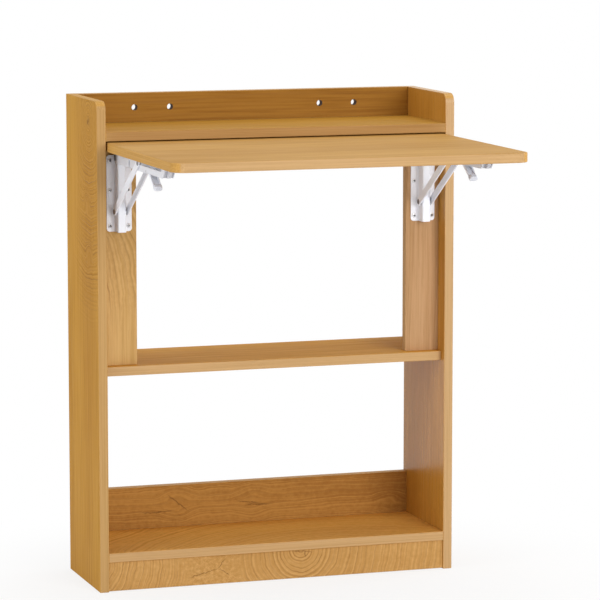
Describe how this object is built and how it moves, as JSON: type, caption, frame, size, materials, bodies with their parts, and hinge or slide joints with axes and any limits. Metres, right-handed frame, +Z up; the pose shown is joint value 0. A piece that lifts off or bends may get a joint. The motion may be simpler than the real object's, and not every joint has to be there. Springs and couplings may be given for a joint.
{
  "type": "fold-down wall desk",
  "caption": "Open oak-finish shelf unit whose desk board folds down in front of it on slotted white steel brackets; holes in its top rail fix it to a wall.",
  "frame": {"origin": "on the floor, under the middle of the box round the unit with its desk board raised", "axes": "+Z up, +Y towards the wall, +X to the right seen from the front"},
  "size_m": [0.6, 0.569, 0.786],
  "materials": {
    "oak_board": "satin oak-grain laminate",
    "white_steel": "white powder coat",
    "zinc_steel": "zinc plate",
    "slide_plastic": "moulded",
    "grip_plastic": "pale moulded",
    "cap_plastic": "light grey moulded",
    "dowel_wood": "plain beech"
  },
  "bodies": {
    "shelf_unit": {"left_side_panel": "oak_board", "right_side_panel": "oak_board", "top_shelf": "oak_board", "middle_shelf": "oak_board", "bottom_shelf": "oak_board", "top_back_rail": "oak_board", "bottom_back_rail": "oak_board", "kick_board": "oak_board", "left_bracket_post": "oak_board", "right_bracket_post": "oak_board", "cam_locks": "zinc_steel", "cam_bolts": "zinc_steel", "wooden_dowels": "dowel_wood", "left_bracket_base": "white_steel", "left_bracket_base_screws": "zinc_steel", "left_bracket_hinge_pin": "zinc_steel", "left_bracket_strut_pin": "zinc_steel", "left_bracket_strut_spacers": "zinc_steel", "right_bracket_base": "white_steel", "right_bracket_base_screws": "zinc_steel", "right_bracket_hinge_pin": "zinc_steel", "right_bracket_strut_pin": "zinc_steel", "right_bracket_strut_spacers": "zinc_steel"},
    "desk": {"desk_board": "oak_board", "left_bracket_arm": "white_steel", "left_bracket_arm_screws": "zinc_steel", "left_bracket_arm_end_cap": "cap_plastic", "left_bracket_lever_pin": "zinc_steel", "right_bracket_arm": "white_steel", "right_bracket_arm_screws": "zinc_steel", "right_bracket_arm_end_cap": "cap_plastic", "right_bracket_lever_pin": "zinc_steel"},
    "left_struts": {"left_bracket_left_strut": "white_steel", "left_bracket_right_strut": "white_steel", "left_bracket_strut_rivets": "zinc_steel"},
    "right_struts": {"right_bracket_left_strut": "white_steel", "right_bracket_right_strut": "white_steel", "right_bracket_strut_rivets": "zinc_steel"},
    "left_slide": {"left_bracket_slide_block": "slide_plastic", "left_bracket_slide_pin": "zinc_steel"},
    "right_slide": {"right_bracket_slide_block": "slide_plastic", "right_bracket_slide_pin": "zinc_steel"},
    "left_lever": {"left_bracket_release_lever": "white_steel", "left_bracket_lever_grip": "grip_plastic"},
    "right_lever": {"right_bracket_release_lever": "white_steel", "right_bracket_lever_grip": "grip_plastic"}
  },
  "joints": [
    {"name": "desk_fold", "type": "hinge", "parent": "shelf_unit", "child": "desk", "pos_m": [0, 0.1095, 0.695], "axis": [1, 0, 0], "range_deg": [0, 90]},
    {"name": "left_strut_swing", "type": "hinge", "parent": "shelf_unit", "child": "left_struts", "pos_m": [-0.2565, 0.1095, 0.6095], "axis": [1, 0, 0], "range_deg": [0, 121.05]},
    {"name": "left_slide_travel", "type": "slide", "parent": "desk", "child": "left_slide", "axis": [0, -1, 0], "range_m": [0, 0.11159]},
    {"name": "left_lever_tuck", "type": "hinge", "parent": "desk", "child": "left_lever", "pos_m": [-0.2565, -0.071, 0.6901], "axis": [-1, 0, 0], "range_deg": [0, 31]},
    {"name": "right_strut_swing", "type": "hinge", "parent": "shelf_unit", "child": "right_struts", "pos_m": [0.2565, 0.1095, 0.6095], "axis": [1, 0, 0], "range_deg": [0, 121.05]},
    {"name": "right_slide_travel", "type": "slide", "parent": "desk", "child": "right_slide", "axis": [0, -1, 0], "range_m": [0, 0.11159]},
    {"name": "right_lever_tuck", "type": "hinge", "parent": "desk", "child": "right_lever", "pos_m": [0.2565, -0.071, 0.6901], "axis": [-1, 0, 0], "range_deg": [0, 31]}
  ],
  "couplings": [
    {"joint": "left_strut_swing", "follows": "desk_fold", "ratio": 1.345},
    {"joint": "left_slide_travel", "follows": "desk_fold", "m_per_rad": 0.071036},
    {"joint": "left_lever_tuck", "follows": "desk_fold", "ratio": 0.34444},
    {"joint": "right_strut_swing", "follows": "desk_fold", "ratio": 1.345},
    {"joint": "right_slide_travel", "follows": "desk_fold", "m_per_rad": 0.071036},
    {"joint": "right_lever_tuck", "follows": "desk_fold", "ratio": 0.34444}
  ]
}
